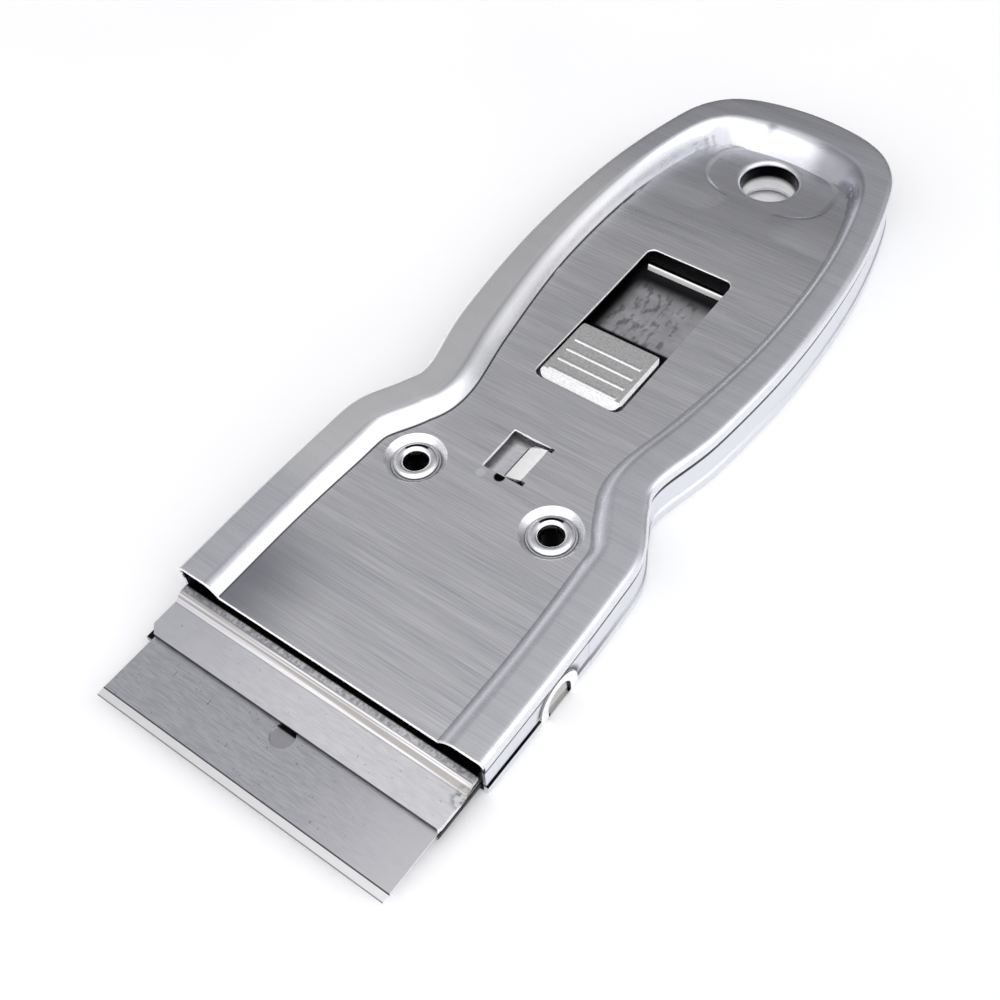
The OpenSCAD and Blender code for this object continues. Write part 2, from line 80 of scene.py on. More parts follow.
def outline(per_segment):
    """Curve a + ma t + (3(b-a) - 2ma - mb) t^2 + (2(a-b) + ma + mb) t^3 between
    control points a and b; ma and mb are half the step between their neighbours."""
    y = np.interp(SHARES[:, 0], [0, 1, 2, 3], [0, WAIST_Y, TAIL_Y, BODY_LEN])
    control = np.stack([SHARES[:, 1] * BODY_W / 2, y, SHARES[:, 2] * RIM_W], 1)
    chain = np.vstack([control[1] * [1, -1, 1], control, control[-2] * [-1, 1, 1]])
    before, a, b, after = (chain[k:len(chain) - 3 + k, None] for k in range(4))
    t = np.linspace(0, 1, per_segment, endpoint=False)[None, :, None]
    ma, mb = (b - before) / 2, (after - a) / 2
    half = a + ma * t + (3 * (b - a) - 2 * ma - mb) * t**2 + (2 * (a - b) + ma + mb) * t**3
    half = half.reshape(-1, 3)
    line = np.vstack([half, control[-1:], half[::-1] * [-1, 1, 1]])
    longer = np.vstack([line[1] * [1, -1, 1], line, line[-2] * [1, -1, 1]])
    step = longer[2:, :2] - longer[:-2, :2]
    step /= np.linalg.norm(step, axis=1, keepdims=True)
    return line, np.stack([-step[:, 1], step[:, 0]], 1)


LINE, INWARD = outline(18)
print("outline:", len(LINE), "stations")

# %% [markdown]
# ## A section carried along the outline
# A rim has the same kind of section all the way round. Blender can bevel a curve
# with a profile, but here the section changes with the width of the rim, so each
# station of the outline gets its own points, all worked out at once.
# %% A section carried along the outline
def swept(depth, height, keep=slice(None)):
    """Station + inward direction * depth, at the given height (stations x points)."""
    x = LINE[keep, :1] + INWARD[keep, :1] * depth
    y = LINE[keep, 1:2] + INWARD[keep, 1:] * depth
    return np.stack([x, y, height + 0 * x], -1)


print("widest station, mm:", round(2 * LINE[:, 0].max(), 2))

# %% [markdown]
# ## From a grid of points to a piece
# Every new piece is one grid of points, because a grid needs no list of faces:
# neighbours make quads, the second direction closes on itself, and the two ends
# get a face each, so the piece is closed. Its faces are turned outwards if its
# volume comes out negative.
# %% From a grid of points to a piece
SHARP_EDGE = math.radians(35)


def add_piece(name, grid, body, material, close_u=False, rim_share=None):
    """Quads a, b, c, d between neighbours; six volumes = sum of a . (b x c) + a . (c x d)."""
    rows, columns = grid.shape[:2]
    index = np.arange(rows * columns).reshape(rows, columns)
    wrapped = np.hstack([index, index[:, :1]])
    if close_u:
        wrapped = np.vstack([wrapped, wrapped[:1]])
    quads = np.stack([wrapped[:-1, :-1], wrapped[1:, :-1], wrapped[1:, 1:], wrapped[:-1, 1:]], -1)
    quads = quads.reshape(-1, 4)
    points = to_part(grid.reshape(-1, 3))
    a, b, c, d = (points[quads[:, k]] for k in range(4))
    volume = (a * np.cross(b, c)).sum() + (a * np.cross(c, d)).sum()
    faces = quads.tolist()
    if not close_u:
        faces += [index[0, ::-1].tolist(), index[-1].tolist()]
    if volume < 0:
        faces = [face[::-1] for face in faces]
    mesh = bpy.data.meshes.new(name)
    mesh.from_pydata(points.tolist(), [], faces)
    mesh.shade_smooth()
    mesh.set_sharp_from_angle(angle=SHARP_EDGE)
    mesh.materials.append(material)
    if rim_share is not None:
        values = np.broadcast_to(rim_share, (rows, columns)).ravel().astype("f4")
        mesh.attributes.new("across", "FLOAT", "POINT").data.foreach_set("value", values)
    piece = bpy.data.objects.new(name, mesh)
    bpy.context.scene.collection.objects.link(piece)
    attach(piece, body)
    print(f"{name}: {len(points)} points, {len(faces)} faces")


print("edges stay sharp from", round(math.degrees(SHARP_EDGE)), "degrees")

# %% [markdown]
# ## Colours and nodes
# A finish is a small tree of nodes. It could be drawn by hand in the shader
# editor, but a tree that is written down can be read and repeated. One function
# adds any node with its settings and links, and one turns a hex colour, as seen
# on a screen, into the linear values that Blender counts in.
# %% Colours and nodes
def colour(text):
    """sRGB hex to linear RGBA: c/12.92 below 0.04045, else ((c + 0.055)/1.055)^2.4."""
    value = np.array([int(text[k:k + 2], 16) for k in (1, 3, 5)]) / 255
    linear = np.where(value <= 0.04045, value / 12.92, ((value + 0.055) / 1.055) ** 2.4)
    return (*linear, 1.0)


def add_node(owner, kind, inputs=(), **settings):
    """Node of the kind in the owner's tree; an input is another node's output or a value."""
    tree = owner.node_tree
    made = tree.nodes.new(kind)
    for key, value in settings.items():
        setattr(made, key, value)
    for key, value in dict(inputs).items():
        if isinstance(value, bpy.types.NodeSocket):
            tree.links.new(value, made.inputs[key])
        else:
            made.inputs[key].default_value = value
    return made


def new_material(name, text, metallic=1.0):
    """Plain material of one colour, metal if nothing else is said."""
    material = bpy.data.materials.new(name)
    material.use_nodes = True
    shader = material.node_tree.nodes["Principled BSDF"]
    shader.inputs["Base Color"].default_value = colour(text)
    shader.inputs["Metallic"].default_value = metallic
    return material


print("mid grey in linear values:", round(float(colour("#808080")[0]), 3))

# %% [markdown]
# ## Marks of work and wear
# Brush lines, grain, scuffs and specks are all small marks of some length and
# width. Photographs of metal would repeat and hold their own light, so stretched
# noise draws the marks, and its scale comes from the size of one mark.
# %% Marks of work and wear
def marks(owner, size, detail=2.0, rough=0.5):
    """Noise whose marks are about size mm long in x, y and z."""
    place = add_node(owner, "ShaderNodeTexCoord").outputs["Object"]
    scale = [1 / (MM * length) for length in size]
    spread = add_node(owner, "ShaderNodeMapping", {"Vector": place, "Scale": scale})
    noise = add_node(owner, "ShaderNodeTexNoise", {
        "Vector": spread.outputs[0], "Scale": 1.0, "Detail": detail, "Roughness": rough})
    return noise.outputs["Fac"]


def patches(owner, size, levels, amounts, detail=2.0, rough=0.5):
    """Marks as an area: the noise between the two levels goes from one amount to the other."""
    area = add_node(owner, "ShaderNodeMapRange", {
        "Value": marks(owner, size, detail, rough), "From Min": levels[0], "From Max": levels[1],
        "To Min": amounts[0], "To Max": amounts[1]})
    return area.outputs["Result"]


print("noise scale of a mark 1 mm long:", 1 / MM)

# %% [markdown]
# ## Areas
# Steel darkens in places: towards a corner, round a hole, under an edge. Such an
# area could be painted on an image, but a step of the distance along a direction
# or from a centre stays sharp at any size and is given in the drawing's own mm.
# %% Areas
X, Y, Z = (1, 0, 0), (0, 1, 0), (0, 0, 1)
LEVEL, UPRIGHT = (1, 1, 0), (0, 1, 1)


def zone(owner, direction, low, high):
    """Eased step of the distance along a direction: 0 at low mm, 1 at high mm."""
    shift = np.dot(ORIGIN, direction)
    place = add_node(owner, "ShaderNodeTexCoord").outputs["Object"]
    along = add_node(owner, "ShaderNodeVectorMath", {0: place, 1: direction}, operation="DOT_PRODUCT")
    step = add_node(owner, "ShaderNodeMapRange", {
        "Value": along.outputs["Value"], "From Min": (low - shift) * MM, "From Max": (high - shift) * MM},
        interpolation_type="SMOOTHSTEP")
    return step.outputs["Result"]


def disc(owner, centre, low, high, plane=LEVEL):
    """Eased step of the distance from a centre in a plane: 0 at low mm, 1 at high mm.
    Points below the centre count as level with it, so an upright disc has straight legs."""
    middle = to_part(centre)
    place = add_node(owner, "ShaderNodeTexCoord").outputs["Object"]
    raised = add_node(owner, "ShaderNodeVectorMath", {
        0: place, 1: (-1, -1, middle[2])}, operation="MAXIMUM")
    flat = add_node(owner, "ShaderNodeVectorMath", {
        0: raised.outputs[0], 1: plane}, operation="MULTIPLY")
    away = add_node(owner, "ShaderNodeVectorMath", {
        0: flat.outputs[0], 1: tuple(middle * plane)}, operation="DISTANCE")
    step = add_node(owner, "ShaderNodeMapRange", {
        "Value": away.outputs["Value"], "From Min": low * MM, "From Max": high * MM},
        interpolation_type="SMOOTHSTEP")
    return step.outputs["Result"]


print("areas are measured from", ORIGIN, "mm")

# %% [markdown]
# ## Stains and surfaces
# A finish is built up as it is on the bench: first the plain metal with its
# grain, then one stain over another. Mixing all colours in one ramp would be
# shorter, but each stain by itself can be moved or left out.
# %% Stains and surfaces
GRAIN_DEPTH = 0.02 * MM


def stain(material, text, *areas):
    """Turns the colour to the given one where all the areas overlap (their amounts multiply)."""
    tree = material.node_tree
    target = tree.nodes["Principled BSDF"].inputs["Base Color"]
    share = areas[0]
    for area in areas[1:]:
        share = add_node(material, "ShaderNodeMath", {0: share, 1: area}, operation="MULTIPLY").outputs[0]
    before = target.links[0].from_socket if target.is_linked else tuple(target.default_value)
    mixed = add_node(material, "ShaderNodeMix", {0: share, 6: before, 7: colour(text)}, data_type="RGBA")
    tree.links.new(mixed.outputs[2], target)


def set_surface(material, tone, levels, light, cloud, rough, grain, bump):
    """Light colour from the tone's levels, roughness from the cloud, small bumps from the grain."""
    tree = material.node_tree
    shader = tree.nodes["Principled BSDF"]
    area = add_node(material, "ShaderNodeMapRange", {
        "Value": tone, "From Min": levels[0], "From Max": levels[1]})
    stain(material, light, area.outputs["Result"])
    dull = add_node(material, "ShaderNodeMapRange", {
        "Value": cloud, "From Min": 0.3, "From Max": 0.7, "To Min": rough[0], "To Max": rough[1]})
    tree.links.new(dull.outputs["Result"], shader.inputs["Roughness"])
    relief = add_node(material, "ShaderNodeBump", {
        "Height": grain, "Strength": bump, "Distance": GRAIN_DEPTH})
    tree.links.new(relief.outputs["Normal"], shader.inputs["Normal"])


def dress(material, *names):
    """Gives CAD nodes their finish."""
    for name in names:
        NODES[name].data.materials.clear()
        NODES[name].data.materials.append(material)
    print(material.name, "on", ", ".join(names))


print("depth of the grain, mm:", GRAIN_DEPTH / MM)

# %% [markdown]
# ## Brushed sheet of the upper shell
# The shells are cut from strip that was brushed crosswise before stamping, so
# fine lines run across the tool. An anisotropic shader would stretch the shine
# but show no lines. Long thin marks show them, as tone and as small bumps, and
# wide ones give the cloudy bands of a worn belt.
# %% Brushed sheet of the upper shell
# Real brush lines are about 0.03 mm wide, and a pixel of the render is about 0.13 mm
# wide on the tool. So the lines are drawn almost a pixel wide, to show at all, and the
# bright streaks a little wider.
BRUSH_LINE, BRUSH_STREAK, BELT_BAND = (9, 0.11, 0.11), (7, 0.16, 0.16), (22, 1.6, 1.6)
BAND_SHARE = 0.2
HOLE_Y = 87.7
# Places of the painted highlight of a dent and the painted shadow of a notch at the front of the window.
WINDOW_DENT_HIGHLIGHT, WINDOW_NOTCH_SHADOW = (-1.95, 28.5, 0), (0.2, 29.1, 0)


def brushed_steel(name, dark, light, rough, bump, streak):
    """Steel with lines along x, some of them bright streaks, in wider dull and bright bands."""
    steel = new_material(name, dark)
    fine = marks(steel, BRUSH_LINE, 3.0, 0.6)
    wide = marks(steel, BELT_BAND)
    both = add_node(steel, "ShaderNodeMix", {"Factor": BAND_SHARE, "A": fine, "B": wide})
    set_surface(steel, both.outputs["Result"], (0.3, 0.7), light, wide, rough, fine, bump)
    stain(steel, "#fcfcfc", patches(steel, BRUSH_STREAK, (0.6, 0.72), (0, streak), 1.0, 0.4))
    return steel


# Brushing gives the eye pale and grey lines across the tool, in one mid-grey sheen.
SHELL = brushed_steel(
    "Stamped steel, brushed across", "#cacbd2", "#fcfcfc", (0.26, 0.34), 0.3, 0.45)
# Painted shade: the front left corner and the tail are a shade darker.
stain(SHELL, "#a3a4ab", zone(SHELL, X, -3, -15), zone(SHELL, Y, 16, 4))
stain(SHELL, "#adaeb4", zone(SHELL, Y, 70, 82), 0.45)
# At the front of the window, a painted highlight stands for a small dent left by the
# punch, and a painted shadow for a notch.
stain(SHELL, "#fcfcfc", disc(SHELL, WINDOW_DENT_HIGHLIGHT, 0.75, 0.4))
stain(SHELL, "#101010", disc(SHELL, WINDOW_NOTCH_SHADOW, 0.75, 0.55))
# Painted in the throat of the hanging hole: black shade above, and below a painted
# reflection as white as the table.
throat = disc(SHELL, (0, HOLE_Y, 0), 4.3, 4.2), zone(SHELL, Z, -0.35, -0.6)
stain(SHELL, "#070707", *throat)
stain(SHELL, "#fcfcfc", *throat, zone(SHELL, Z, -2.0, -3.0))
dress(SHELL, "upper_shell")

# %% [markdown]
# ## Satin steel of the rim
# Where the press draws the sheet over the die, it wipes the brush lines out and
# leaves a satin shine. Light alone would shade the rim too evenly, so painted
# light and shade follow its fall. They read the rim's own attribute, which goes
# from 0 on the crest to 1 at the foot and so follows every bend.
# %% Satin steel of the rim
def down_rim(owner, levels, amounts):
    """Step of the share of the rim's fall: between the two levels, from one amount to the other."""
    share = add_node(owner, "ShaderNodeAttribute", attribute_name="across").outputs["Fac"]
    area = add_node(owner, "ShaderNodeMapRange", {
        "Value": share, "From Min": levels[0], "From Max": levels[1],
        "To Min": amounts[0], "To Max": amounts[1]})
    return area.outputs["Result"]


# Drawing gives the eye a soft shine, white towards the light and grey away from it.
RIM = brushed_steel("Stamped steel, satin rim", "#dadbe1", "#f0f1f5", (0.24, 0.3), 0.1, 0.3)
# Painted light and shade on the left: a highlight on the crest, painted shade on the
# upper slope, and a dark line of painted shade at the foot.
stain(RIM, "#fcfcfc", zone(RIM, X, -9, -14), zone(RIM, Y, 12, 20), zone(RIM, Y, 84, 70))
left = zone(RIM, X, -4, -9), zone(RIM, Y, 84, 76)
upper_slope = down_rim(RIM, (0.02, 0.2), (0, 0.75)), down_rim(RIM, (0.2, 0.55), (1, 0))
stain(RIM, "#a7a8ae", *left, *upper_slope)
stain(RIM, "#454549", *left, down_rim(RIM, (0.94, 0.975), (0, 1)))
# On the right, painted shade makes the slope go softly grey towards its foot.
stain(RIM, "#94959b", zone(RIM, X, 4, 9), down_rim(RIM, (0.6, 0.95), (0, 0.55)))
# Painted shade at the tail: its slope is grey at its right, and a narrow grey divide
# parts the white rest into two lobes of light.
tail = zone(RIM, Y, 85, 89), down_rim(RIM, (0.02, 0.2), (0, 0.9))
stain(RIM, "#9c9da3", *tail, zone(RIM, X, 1.8, 5.2))
divide = zone(RIM, X, -4.6, -3.5), zone(RIM, X, -2.4, -3.5), down_rim(RIM, (0.35, 0.8), (0.9, 0))
stain(RIM, "#a4a5ab", *tail, *divide)
print("rim finish:", RIM.name)

# %% [markdown]
# ## Smooth rim of the upper shell
# The press rounds the outer edge and lets the rim fall in one soft curve to the
# panel, where it ends in a crisp line. Smoothing the CAD rim would blur that
# line. So a skin follows the same section with many more steps, a few hundredths
# of a millimetre outside it.
# %% Smooth rim of the upper shell
RIM_H, EDGE_R, LIP_RISE, CREST = 1.2, 0.78, 2.0, 0.6
RIM_LIFT, RIM_DEPTH = 0.04, 0.12
# The fall goes on a little past the foot, so that its end is buried in the panel.
FALL_END = 1.05


def upper_rim():
    """Section: wall, quarter circle of EDGE_R, level crest, then top * (1 - t^2) into the panel.
    Gives the grid and, for each of its columns, the share t of the fall."""
    width = LINE[:, 2:]
    lip = LIP_RISE * LINE[:, 1:2] / BODY_LEN
    top = lip + RIM_H
    turn = np.linspace(0, math.pi / 2, 14)[None]
    level = np.linspace(0, 1, 5)[None, 1:-1]
    fall = np.linspace(0, FALL_END, 32)[None]

    def section(out):
        depth = [-out + 0 * width, EDGE_R - (EDGE_R + out) * np.cos(turn) + 0 * width,
                 EDGE_R + (CREST * width - EDGE_R) * level,
                 width * (CREST + (1 - CREST) * fall)]
        height = [lip, top - EDGE_R + (EDGE_R + out) * np.sin(turn), top + out + 0 * level,
                  top * (1 - fall**2) + out]
        return np.stack([np.hstack(depth), np.hstack(height)])

    outside, inside = section(RIM_LIFT), section(-RIM_DEPTH)
    depth, height = np.concatenate([outside, inside[:, :, ::-1]], 2)
    share = np.r_[np.zeros(1 + turn.size + level.size), fall[0]]
    return swept(depth, height), np.r_[share, share[::-1]]


grid, share = upper_rim()
add_piece("upper_rim_skin", grid, "housing", RIM, rim_share=share)

# %% [markdown]
# ## Plain steel of the lower shell
# The deeper tray is pressed from the same strip, but its walls keep no brush
# lines. Dark lines of painted shade show where the shells meet, along the crease
# and round the pressed arch, which also gets a painted highlight. The forms are in
# the solids, but they are shallow, so painted shade and light bring them out.
# %% Plain steel of the lower shell
CREASE_Z = -3.35
ARCH = (0, 11.9, CREASE_Z)
# Height above the lip, which rises towards the tail.
OVER_LIP = (0, -LIP_RISE / BODY_LEN, 1)

# Pressing gives the eye a plain pale wall. Its only lines are painted shade, under the
# lip and along the crease.
WALL = brushed_steel("Stamped steel, plain wall", "#dadbe1", "#e7e9ed", (0.3, 0.38), 0.05, 0.0)
# Painted shadow in the seam under the lip.
stain(WALL, "#262427", zone(WALL, OVER_LIP, 0.1, 0.0), zone(WALL, OVER_LIP, -0.92, -0.66))
# Painted shadow in the crease, strongest at the front.
crease = zone(WALL, Z, -3.72, -3.58), zone(WALL, Z, -3.1, -3.25)
stain(WALL, "#0e0e0e", *crease, zone(WALL, Y, 36, 6))
# Painted light and shade round the arch, from outside in: the shadow over it, a
# highlight on its edge, a dark line of shade, and its face a shade darker.
stain(WALL, "#383637", disc(WALL, ARCH, 4.0, 3.2, UPRIGHT), zone(WALL, Z, -3.3, -2.6))
stain(WALL, "#fcfcfc", disc(WALL, ARCH, 3.2, 3.05, UPRIGHT))
stain(WALL, "#121212", disc(WALL, ARCH, 2.0, 1.85, UPRIGHT))
stain(WALL, "#bfbfbd", disc(WALL, ARCH, 1.65, 1.5, UPRIGHT))
dress(WALL, "lower_shell")

# %% [markdown]
# ## Smooth wall of the lower shell
# The tray's wall drops from a shadow groove under the lip, has a crease above
# its foot and ends in a rounded bead. A Bevel modifier would round all corners
# alike. Here the corners are sampled and averaged, so they are only softened.
# The skin starts behind the pressed arches and runs round the tail.
# %% Smooth wall of the lower shell
SHEET, WALL_INSET, CREASE_D = 0.4, 0.15, 0.2
GROOVE_TOP, GROOVE = 0.02, 0.3
WALL_START, WALL_LIFT, WALL_SKIN = 17, 0.05, 0.15
FOOT_TURN = math.radians(65)


def lower_wall():
    """Section through a few corners, sampled evenly and rounded by a mean of five neighbours."""
    keep = LINE[:, 1] > WALL_START
    lip = LIP_RISE * LINE[keep, 1:2] / BODY_LEN
    turn = np.linspace(0, FOOT_TURN, 8)
    reach = EDGE_R + WALL_LIFT
    foot = np.stack([EDGE_R - reach * np.cos(turn), BASE + EDGE_R - reach * np.sin(turn)], 1)
    corners = np.vstack([
        [WALL_INSET - WALL_LIFT, CREASE_Z + CREASE_D],
        [WALL_INSET + CREASE_D - WALL_LIFT, CREASE_Z],
        [-WALL_LIFT, CREASE_Z - CREASE_D], foot])
    way = np.r_[0, np.cumsum(np.linalg.norm(np.diff(corners, axis=0), axis=1))]
    even = np.linspace(0, way[-1], 60)
    bead = [np.pad(np.interp(even, way, corners[:, k]), 2, "edge") for k in (0, 1)]
    soft = [np.convolve(side, np.ones(5) / 5, "valid") for side in bead]
    depth = np.hstack([SHEET - WALL_LIFT + 0 * lip, WALL_INSET - WALL_LIFT + 0 * lip, soft[0] + 0 * lip])
    height = np.hstack([lip - GROOVE_TOP, lip - GROOVE, soft[1] + 0 * lip])
    back = depth[:, ::-1] + WALL_SKIN
    return swept(np.hstack([depth, back]), np.hstack([height, height[:, ::-1]]), keep)


add_piece("lower_wall_skin", lower_wall(), "housing", WALL)

# %% [markdown]
# ## Pressed land round the hanging hole
# The hole sits in a shallow oval land. Its front corners are set down from the
# panel by a soft step, which fades towards the middle. Sculpting could do it,
# but the step is only a quarter of a millimetre, so it is a height worked out
# on a polar grid, from the turned edge of the hole to the foot of the rim.
# %% Pressed land round the hanging hole
HOLE_R, HOLE_EDGE = 3.6, 0.75
LAND_X, LAND_Y, LAND_HALF_W, LAND_HALF_L, LAND_POWER = 0.3, 87.4, 8.2, 5.0, 2.6
LAND_STEP, STEP_EDGE = 0.24, (0.92, 1.25)
# The step fades towards the middle and towards the front. Where it has faded out, the
# land lies just under the panel and doesn't show.
FADE_X, FADE_Y = (2.0, 7.0), (76.5, 83.0)
LAND_SINK, LAND_BOTTOM = 0.03, 0.15
# How far it reaches in front of the hole, and how far it goes under the foot of the rim.
LAND_FRONT, UNDER_RIM = 12.5, 0.25


def smooth(low, high, value):
    """Eased step: 0 below low, 1 above high, 3t^2 - 2t^3 between them."""
    t = np.clip((value - low) / (high - low), 0, 1)
    return t * t * (3 - 2 * t)


def tail_land():
    """Height = step * eased distance outside a rounded oval * eased distance from the middle."""
    angle = np.linspace(-math.pi, math.pi, 240, endpoint=False)[:, None]
    rear = LINE[:, 1] > 70
    foot = LINE[rear, :2] + INWARD[rear] * (LINE[rear, 2:] - UNDER_RIM)
    foot_angle = np.arctan2(foot[:, 0], foot[:, 1] - HOLE_Y)
    order = np.argsort(foot_angle)
    reach = np.interp(angle, foot_angle[order], np.hypot(foot[:, 0], foot[:, 1] - HOLE_Y)[order])
    reach = np.minimum(reach, LAND_FRONT / np.maximum(-np.cos(angle), 0.05))
    share = np.linspace(0, 1, 60)[None] ** 1.1
    inner = HOLE_R + HOLE_EDGE - 0.05
    far = inner + (reach - inner) * share
    x, y = far * np.sin(angle), HOLE_Y + far * np.cos(angle)
    oval = (np.abs(x - LAND_X) / LAND_HALF_W) ** LAND_POWER + (np.abs(y - LAND_Y) / LAND_HALF_L) ** LAND_POWER
    side = smooth(*FADE_X, np.abs(x - LAND_X))
    step = LAND_STEP * smooth(*STEP_EDGE, oval) * side * smooth(*FADE_Y, y)
    z = step * smooth(0.0, 0.06, share) - LAND_SINK
    top = np.stack([x, y, z], -1)
    under = np.stack([x, y, -LAND_BOTTOM + 0 * z], -1)
    return np.concatenate([top, under[:, ::-1]], 1)


add_piece("tail_land", tail_land(), "housing", SHELL, close_u=True)

# %% [markdown]
# ## Evenly worked metals, and the thumb button
# The other metals are rolled, ground, tumbled or plated, so no belt has left its
# bands on them. Each could have a tree of its own, but they differ only in the
# size and depth of their grain, so one function makes them all. The first is the
# zinc of the thumb button.
# %% Evenly worked metals, and the thumb button
def worked_metal(name, size, dark, light, rough, bump):
    """Metal with one grain of marks of the size, in mm, for its tone, roughness and bumps."""
    metal = new_material(name, dark)
    grain = marks(metal, size, 3.0, 0.6)
    set_surface(metal, grain, (0.35, 0.62), light, grain, rough, grain, bump)
    return metal


# Tumbled zinc gives the eye an even pale grey without lines. Its real grain is
# too fine to show, so it is drawn about two pixels wide.
CAST = worked_metal("Button zinc, satin", (0.3, 0.3, 0.3), "#dbdbdb", "#f0eeed", (0.34, 0.42), 0.25)
dress(CAST, "thumb_button")

# %% [markdown]
# ## Burnished sheet edges
# A punch rolls the edge of a sheet over a little, and handling polishes it, so
# cut edges catch the light as thin bright lines. A bevel on the CAD sheet would
# change a node, so each edge is a slender tube: along the rear and left side of the
# thumb slot and of the window, and along the front of the upper shell.
# %% Burnished sheet edges
def tube(path, radius, lead):
    """Circle of the radius round each path point, in the plane across the path."""
    ahead = np.gradient(path, axis=0)
    ahead /= np.linalg.norm(ahead, axis=1, keepdims=True)
    side = np.cross(ahead, lead)
    side /= np.linalg.norm(side, axis=1, keepdims=True)
    up = np.cross(side, ahead)
    turn = np.linspace(0, 2 * math.pi, 14, endpoint=False)[None, :, None]
    return path[:, None] + radius * (np.cos(turn) * side[:, None] + np.sin(turn) * up[:, None])


def far_edge(half, front, rear, corner, z):
    """Rear and left side of a rectangle, with a quarter circle at each of three corners,
    from the right rear round to the left front."""
    turn = np.linspace(0, math.pi / 2, 10)
    corners = [(half - corner, rear - corner), (corner - half, rear - corner),
               (corner - half, front + corner)]
    arcs = [np.stack([x + corner * np.cos(turn + k * math.pi / 2),
                      y + corner * np.sin(turn + k * math.pi / 2), z + 0 * turn], 1)
            for k, (x, y) in enumerate(corners)]
    return np.vstack(arcs)


# Burnishing gives the eye a thin white line along each edge.
BURNISHED = worked_metal("Burnished steel edge", (0.6, 0.6, 0.6), "#efedeb", "#fdfcfb", (0.3, 0.42), 0.1)
SLOT_EDGE = far_edge(half=6.02, front=43.6, rear=68.95, corner=1.1, z=-0.12)
WINDOW_EDGE = far_edge(half=2.48, front=29.4, rear=35.62, corner=0.15, z=-0.1)
SLOT_ROLL, WINDOW_ROLL = 0.14, 0.12
add_piece("slot_edge", tube(SLOT_EDGE, SLOT_ROLL, Z), "housing", BURNISHED)
add_piece("window_edge", tube(WINDOW_EDGE, WINDOW_ROLL, Z), "housing", BURNISHED)

# %% [markdown]
# ## Front edge of the upper shell
# The open front shows the cut edge of the sheet as one bright line, which climbs
# from the panel over both crests. The path is worked out from the section of the
# rim itself, so that the line lies in the middle of the sheet all the way.
# %% Front edge of the upper shell
FRONT_ROLL, FRONT_INSET = 0.17, 0.02
# The line stops, in radians, just before the section turns straight down.
TURN_STOP = 0.2


def front_edge():
    """Middle line of the rim's section at the front, mirrored to the other side."""
    fall = np.linspace(1, 0, 16)
    turn = np.linspace(math.pi / 2, TURN_STOP, 8)
    middle = SHEET / 2
    depth = np.r_[RIM_W * (CREST + (1 - CREST) * fall), EDGE_R - (EDGE_R - middle) * np.cos(turn)]
    height = np.r_[RIM_H * (1 - fall**2) - middle, RIM_H - EDGE_R + (EDGE_R - middle) * np.sin(turn)]
    half = np.stack([BODY_W / 2 - depth, FRONT_INSET + 0 * depth, height], 1)
    return tube(np.vstack([half[::-1], half * [-1, 1, 1]]), FRONT_ROLL, Y)


add_piece("front_edge", front_edge(), "housing", BURNISHED)

# %% [markdown]
# ## Carriage: the jaw strip
# The front of the sliding sheet is joggled down over the blade and is handled at
# every change of blade. One even grey would look like plastic, so it is pale with
# short scuffs, the joggle has fine lines, the band behind it is crimped, and painted
# shade makes it black where the sheet runs under the panel.
# %% Carriage: the jaw strip
# Middle of a painted shadow under the front corner of the housing.
CORNER_SHADOW = (19.4, -2.7, 0)

# Rolling gives the eye a pale, even sheen, on which every scuff shows.
STRIP = worked_metal("Rolled strip, handled, painted shade", (1.6, 0.2, 0.3), "#f2f2f5", "#fdfdff", (0.36, 0.44), 0.1)
# Painted shade: darker towards the left.
stain(STRIP, "#d6d6dd", zone(STRIP, X, 2, -20), 0.75)
stain(STRIP, "#8b8b90", patches(STRIP, (0.5, 0.4, 0.5), (0.7, 0.78), (0, 0.6), rough=0.6))
joggle = zone(STRIP, Y, -2.45, -2.25), zone(STRIP, Y, -0.95, -1.15)
lines = patches(STRIP, (30, 0.3, 0.6), (0.42, 0.58), (0.35, 0.9), detail=1.0)
stain(STRIP, "#95918c", *joggle, lines)
crimped = zone(STRIP, Y, -1.15, -0.95), zone(STRIP, Y, 2, 1)
hatch = patches(STRIP, (0.35, 0.5, 0.5), (0.4, 0.6), (0.15, 0.6), rough=0.6)
stain(STRIP, "#6c6c70", *crimped, hatch)
# Painted shadow, mottled, at the right end of the joggle, under the front corner of the housing.
shadow_blots = patches(STRIP, (0.7, 0.7, 0.7), (0.42, 0.6), (0, 0.9))
stain(STRIP, "#161617", disc(STRIP, CORNER_SHADOW, 1.6, 0.2), shadow_blots)
# Painted shade: the sheet is black where it runs under the panel.
stain(STRIP, "#0e0e0e", zone(STRIP, Y, -0.5, -0.3), zone(STRIP, Y, 12, 8))
dress(STRIP, "carriage")

# %% [markdown]
# ## Carriage: the plate in the thumb slot
# Behind the button the same sheet shows as a plate with dark lengthwise scuffs.
# A second material would leave a hard border on the one solid, so painted shade
# darkens it towards the left, towards its end and close behind the button.
# %% Carriage: the plate in the thumb slot
in_slot = zone(STRIP, Y, 46, 50)
stain(STRIP, "#7f7e83", in_slot, patches(STRIP, (3, 3, 3), (0.3, 0.7), (0.35, 0.6)))
scuffs = patches(STRIP, (0.7, 1.5, 0.7), (0.52, 0.66), (0, 0.55), rough=0.55)
stain(STRIP, "#57565a", in_slot, scuffs, zone(STRIP, Y, 66, 63.5), zone(STRIP, X, 4.6, 3.4))
# Painted shade: towards the left, towards the end and close behind the button.
stain(STRIP, "#101011", in_slot, zone(STRIP, X, -3.2, -5.4))
stain(STRIP, "#202023", zone(STRIP, Y, 62.6, 65.4))
stain(STRIP, "#141417", in_slot, zone(STRIP, Y, 55.5, 55.1))
# Painted shade: the cut front of the jaw strip is black against the blade.
stain(STRIP, "#070707", zone(STRIP, Y, -6.44, -6.49))
print("carriage finish:", len(STRIP.node_tree.nodes), "nodes")

